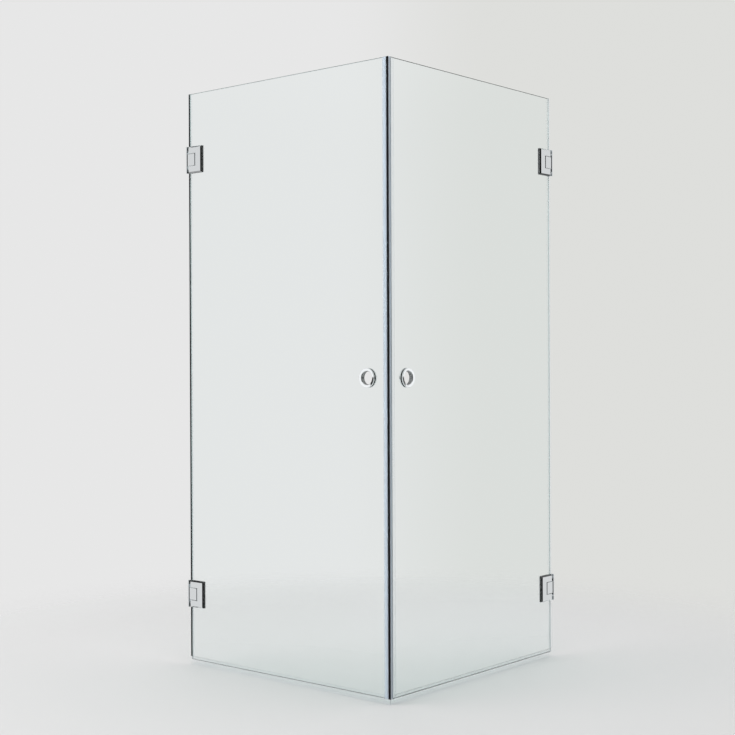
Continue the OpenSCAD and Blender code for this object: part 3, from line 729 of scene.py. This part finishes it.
class ENCLOSURE_OT_seals(EnclosureOperator, bpy.types.Operator):
    """Gives the corner seals, bottom sweeps and wall seals clear vinyl"""

    bl_idname = "enclosure.seals"
    bl_label = "Seals"

    def execute(self, context):
        f = self.finishes
        left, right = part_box("left_corner_seal"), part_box("right_corner_seal")
        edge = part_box("left_glass")[0].x
        dress(["left_corner_seal"], vinyl_finish(
            f, "left_corner_vinyl", bending=1.2, hazy=(left[0].x, left[1].x),
            dark=(left[1].x - f.corner_lip, left[1].x)))
        dress(["right_corner_seal"], vinyl_finish(
            f, "right_corner_vinyl", bending=1.3, axis="Y", hazy=(right[0].y, right[0].y + f.corner_haze)))
        dress(on_doors("bottom_sweep"), vinyl_finish(f, "sweep_vinyl", bending=1.2))
        dress(["right_wall_seal"], vinyl_finish(f))
        # Painted shade: the left wall seal is black next to the glass edge, and the right one stays clear
        dress(["left_wall_seal"], vinyl_finish(f, "left_wall_vinyl", dark=(edge - f.painted_wall_shade, edge)))
        return {"FINISHED"}


class ENCLOSURE_OT_magnets(EnclosureOperator, bpy.types.Operator):
    """Gives the magnet strips black magnetic rubber"""

    bl_idname = "enclosure.magnets"
    bl_label = "Magnets"

    def execute(self, context):
        dress(on_doors("magnet"), grained_finish(
            "magnet_rubber", self.finishes.magnet, roughness=0.55, speck_scale=900.0, depth=0.00004))
        return {"FINISHED"}


class ENCLOSURE_OT_hinge_chrome(EnclosureOperator, bpy.types.Operator):
    """Rounds the edges of the wall plates and clamps and gives them chrome"""

    bl_idname = "enclosure.hinge_chrome"
    bl_label = "Hinge Chrome"

    def execute(self, context):
        for node in on_hinges("wall_plate", "outer_clamp", "inner_clamp"):
            name = f"{node}_chrome"
            piece = finish_piece(
                name, joined_copy(node, name), chrome_finish(self.finishes), node)
            bevel = piece.modifiers.new("edges", "BEVEL")
            bevel.width = self.shapes.edge_round
            bevel.segments = 2
            bevel.limit_method = "ANGLE"
            bevel.angle_limit = math.radians(SHARP_ANGLE)
            # Keeps the flat faces flat in what they mirror, up to their rounded edges
            flat = piece.modifiers.new("flat_faces", "WEIGHTED_NORMAL")
            flat.mode = "FACE_AREA"
            flat.weight = 100
            flat.keep_sharp = True
        return {"FINISHED"}


class ENCLOSURE_OT_gaskets(EnclosureOperator, bpy.types.Operator):
    """Gives the gaskets black rubber"""

    bl_idname = "enclosure.gaskets"
    bl_label = "Gaskets"

    def execute(self, context):
        dress(on_hinges("gaskets"), grained_finish(
            "gasket_rubber", self.finishes.rubber, roughness=0.62, speck_scale=1200.0, depth=0.00005))
        return {"FINISHED"}


class ENCLOSURE_OT_hinge_steel(EnclosureOperator, bpy.types.Operator):
    """Gives the screws, pins, plungers and adjusting screws machined steel"""

    bl_idname = "enclosure.hinge_steel"
    bl_label = "Hinge Steel"

    def execute(self, context):
        dress(on_hinges("clamp_screws", "hinge_pin", "plunger", "adjuster"), steel_finish(self.finishes))
        return {"FINISHED"}


class ENCLOSURE_OT_pivot_washers(EnclosureOperator, bpy.types.Operator):
    """Gives the pivot washers nylon"""

    bl_idname = "enclosure.pivot_washers"
    bl_label = "Pivot Washers"

    def execute(self, context):
        dress(on_hinges("pivot_washers"), nylon_finish(self.finishes))
        return {"FINISHED"}


class ENCLOSURE_OT_springs(EnclosureOperator, bpy.types.Operator):
    """Coils the four detent springs"""

    bl_idname = "enclosure.springs"
    bl_label = "Detent Springs"

    def execute(self, context):
        s, steel = self.shapes, steel_finish(self.finishes)
        for side in SIDES:
            axis = ALONG[side]
            for level in LEVELS:
                node = f"{side}_{level}_spring"
                low, high = corners(node)
                near, far = sorted((low @ axis, high @ axis))
                start = (low + high) / 2.0 * (1.0 - np.abs(axis)) + axis * near
                points = coiled(start, axis, OUTWARD[side], far - near, s)
                faces = grid_faces(len(points), WIRE_POINTS, closed=False)
                add_piece(
                    f"{node}_coil", points.reshape(-1, 3), faces, steel, node,
                    smooth_angle=180.0)
        return {"FINISHED"}


# Studio

SENSOR_WIDTH = 36.0
CLIP_RANGE = (0.05, 100.0)
# Name, place, point aimed at, size in metres and power setting of each lamp
LAMPS = (
    ("key_lamp", (-2.6, -4.2, 3.4), (0.0, 0.0, 0.9), 3.0, "key_power"),
    ("top_lamp", (0.3, -0.3, 4.2), (0.0, 0.0, 0.0), 3.4, "top_power"),
)
# The cosine from which a lamp looks almost straight down, and what its top edge is turned to there
STEEP = 0.99
AHEAD = np.array([0.0, 1.0, 0.0])
# From the left to the right backdrop: a direction and two cosines, as towards takes them
BACKDROP_TURN = ((0.78, 0.62, 0.0), -0.06, 0.06)
# What polished metal mirrors: a grey room, and forms in it, each over the ones before it, with a direction,
# two cosines and a stretch, as towards takes them, and a grey level
ROOM_GREY = (0.62, 0.62, 0.62)
ROOM_FORMS = (
    # A white area for the rings on each side, with a grey middle for the flat faces of the hinges
    ((-0.648, -0.762, 0.0), 0.85, 0.90, 1.0, 1.0),
    ((0.625, 0.781, 0.0), 0.85, 0.90, 1.0, 1.0),
    ((-0.736, -0.677, 0.0), 0.970, 0.985, 1.0, 0.72),
    ((0.562, 0.827, 0.0), 0.970, 0.985, 1.0, 0.72),
    # A darker grey below, and a tall dark opening in front of the corner for the hinges' free sides
    ((0.0, 0.0, -1.0), 0.50, 0.75, 1.0, 0.42),
    ((0.73, -0.68, 0.0), 0.86, 0.92, 2.4, 0.006),
    # A dark spot on each side for the rings' lower halves
    ((-0.886, -0.451, 0.112), 0.986, 0.992, 1.0, 0.02),
    ((0.266, 0.957, 0.112), 0.986, 0.992, 1.0, 0.02),
    # Dark spots high up for the tops of the lower hinges, and low down for the undersides of the upper ones
    ((-0.730, -0.146, 0.667), 0.990, 0.996, 1.0, 0.02),
    ((0.143, 0.831, 0.537), 0.990, 0.996, 1.0, 0.09),
    ((-0.733, -0.119, -0.669), 0.990, 0.996, 1.0, 0.33),
    ((0.116, 0.834, -0.539), 0.990, 0.996, 1.0, 0.10),
)
FLOOR_RINGS = 24
FLOOR_SIDES = 96


class ENCLOSURE_OT_stage(EnclosureOperator, bpy.types.Operator):
    """Sets up the camera, the backdrop, the lamps and the floor"""

    bl_idname = "enclosure.stage"
    bl_label = "Studio"

    def execute(self, context):
        studio = context.scene.enclosure_studio
        context.scene.view_settings.view_transform = "Standard"
        self.place_camera(context, studio)
        self.light_world(context, studio)
        for name, place, target, size, power in LAMPS:
            self.add_lamp(context, name, place, target, size, getattr(studio, power))
        self.lay_floor(context, studio)
        return {"FINISHED"}

    def place_camera(self, context, studio):
        """Right, up and back of the camera, from its yaw, pitch and roll."""
        yaw, pitch, roll = studio.camera_yaw, studio.camera_pitch, studio.camera_roll
        right = np.array([math.cos(yaw), math.sin(yaw), 0.0])
        ahead = np.array([-math.sin(yaw), math.cos(yaw), 0.0])
        view = ahead * math.cos(pitch) + UP * math.sin(pitch)
        top = UP * math.cos(pitch) - ahead * math.sin(pitch)
        across = right * math.cos(roll) + top * math.sin(roll)
        upwards = top * math.cos(roll) - right * math.sin(roll)
        camera = bpy.data.objects.new("camera", bpy.data.cameras.new("camera"))
        camera.data.sensor_width = SENSOR_WIDTH
        camera.data.lens = studio.lens
        camera.data.clip_start, camera.data.clip_end = CLIP_RANGE
        self.put(context, camera, studio.camera_place, across, upwards, -view)
        context.scene.camera = camera

    def light_world(self, context, studio):
        """Even light for the surfaces. The camera and the glass see the plain backdrop, and polished metal
        sees the room and its forms."""
        world = bpy.data.worlds.new("studio")
        world.use_nodes = True
        tree = world.node_tree
        tree.nodes.clear()
        backdrop = blended(
            tree, towards(tree, *BACKDROP_TURN), studio.backdrop_left, studio.backdrop_right)
        room = ROOM_GREY
        for direction, start, end, stretch, grey in ROOM_FORMS:
            room = blended(tree, towards(tree, direction, start, end, stretch), room, (grey,) * 3)
        path = add_node(tree, "ShaderNodeLightPath")
        seen = calculated(
            tree, "ADD", path.outputs["Is Camera Ray"], path.outputs["Is Transmission Ray"], use_clamp=True)
        plain = blended(tree, seen, (studio.soft_light,) * 3, backdrop)
        light = add_node(tree, "ShaderNodeBackground", inputs={
            "Color": blended(tree, mirrored_rays(tree), plain, room), "Strength": 1.0})
        add_node(tree, "ShaderNodeOutputWorld", inputs={"Surface": light.outputs["Background"]})
        context.scene.world = world

    def add_lamp(self, context, name, place, target, size, power):
        """A large square lamp at place, aimed at target, that no mirror and no glass shows."""
        lamp = bpy.data.lights.new(name, "AREA")
        lamp.shape, lamp.size, lamp.energy = "SQUARE", size, power
        holder = bpy.data.objects.new(name, lamp)
        holder.visible_glossy = holder.visible_transmission = False
        back = np.array(place) - np.array(target)
        back /= np.linalg.norm(back)
        # The lamp's top edge is turned upwards, or towards +Y where it looks almost straight down
        across = np.cross(AHEAD if back @ UP > STEEP else UP, back)
        across /= np.linalg.norm(across)
        self.put(context, holder, place, across, np.cross(back, across), back)

    def put(self, context, thing, place, across, upwards, back):
        """Puts a camera or a lamp at place, with its own X, Y and Z along the three directions."""
        columns = np.stack([across, upwards, back], axis=1)
        thing.matrix_world = Matrix.Translation(place) @ Matrix(columns.tolist()).to_4x4()
        context.collection.objects.link(thing)

    def lay_floor(self, context, studio):
        """A round floor at z = 0: radius * (cos a, sin a), in rings that widen outwards."""
        radii = studio.floor_radius * np.linspace(0.0, 1.0, FLOOR_RINGS + 1)[1:, None]
        a = np.linspace(0.0, 2.0 * np.pi, FLOOR_SIDES, endpoint=False)[None, :]
        rings = np.stack([radii * np.cos(a), radii * np.sin(a), 0.0 * radii * a], axis=-1).reshape(-1, 3)
        points = np.concatenate([rings, np.zeros((1, 3))])
        quads = grid_faces(FLOOR_RINGS, FLOOR_SIDES, closed=False)[:, ::-1]
        first = np.arange(FLOOR_SIDES)
        middle = np.stack([first, np.roll(first, -1), np.full_like(first, len(rings))], axis=1)
        mesh = bpy.data.meshes.new("floor")
        mesh.from_pydata(points.tolist(), [], quads.tolist() + middle.tolist())
        mesh.update()
        mesh.materials.append(floor_finish(studio))
        floor = bpy.data.objects.new("floor", mesh)
        context.collection.objects.link(floor)


OPERATORS = (
    ENCLOSURE_OT_glass_panes,
    ENCLOSURE_OT_ring_pulls,
    ENCLOSURE_OT_pull_fittings,
    ENCLOSURE_OT_seals,
    ENCLOSURE_OT_magnets,
    ENCLOSURE_OT_hinge_chrome,
    ENCLOSURE_OT_gaskets,
    ENCLOSURE_OT_hinge_steel,
    ENCLOSURE_OT_pivot_washers,
    ENCLOSURE_OT_springs,
    ENCLOSURE_OT_stage,
)


class ENCLOSURE_PT_panel(bpy.types.Panel):
    """Settings and steps of the enclosure."""

    bl_idname = "ENCLOSURE_PT_panel"
    bl_label = "Shower Enclosure"
    bl_space_type = "VIEW_3D"
    bl_region_type = "UI"
    bl_category = "Enclosure"

    def draw(self, context):
        scene = context.scene
        for group in (scene.enclosure_finishes, scene.enclosure_shapes, scene.enclosure_studio):
            box = self.layout.box()
            for name in group.bl_rna.properties.keys():
                if name not in ("rna_type", "name"):
                    box.prop(group, name)
        for operator in OPERATORS:
            self.layout.operator(operator.bl_idname)


CLASSES = (
    ENCLOSURE_PG_finishes, ENCLOSURE_PG_shapes, ENCLOSURE_PG_studio, *OPERATORS, ENCLOSURE_PT_panel)


def register():
    for item in CLASSES:
        bpy.utils.register_class(item)
    bpy.types.Scene.enclosure_finishes = PointerProperty(type=ENCLOSURE_PG_finishes)
    bpy.types.Scene.enclosure_shapes = PointerProperty(type=ENCLOSURE_PG_shapes)
    bpy.types.Scene.enclosure_studio = PointerProperty(type=ENCLOSURE_PG_studio)


def unregister():
    del bpy.types.Scene.enclosure_studio
    del bpy.types.Scene.enclosure_shapes
    del bpy.types.Scene.enclosure_finishes
    for item in reversed(CLASSES):
        bpy.utils.unregister_class(item)


def main():
    """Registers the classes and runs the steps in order."""
    register()
    for operator in OPERATORS:
        group, step = operator.bl_idname.split(".")
        getattr(getattr(bpy.ops, group), step)()


if __name__ == "__main__":
    main()
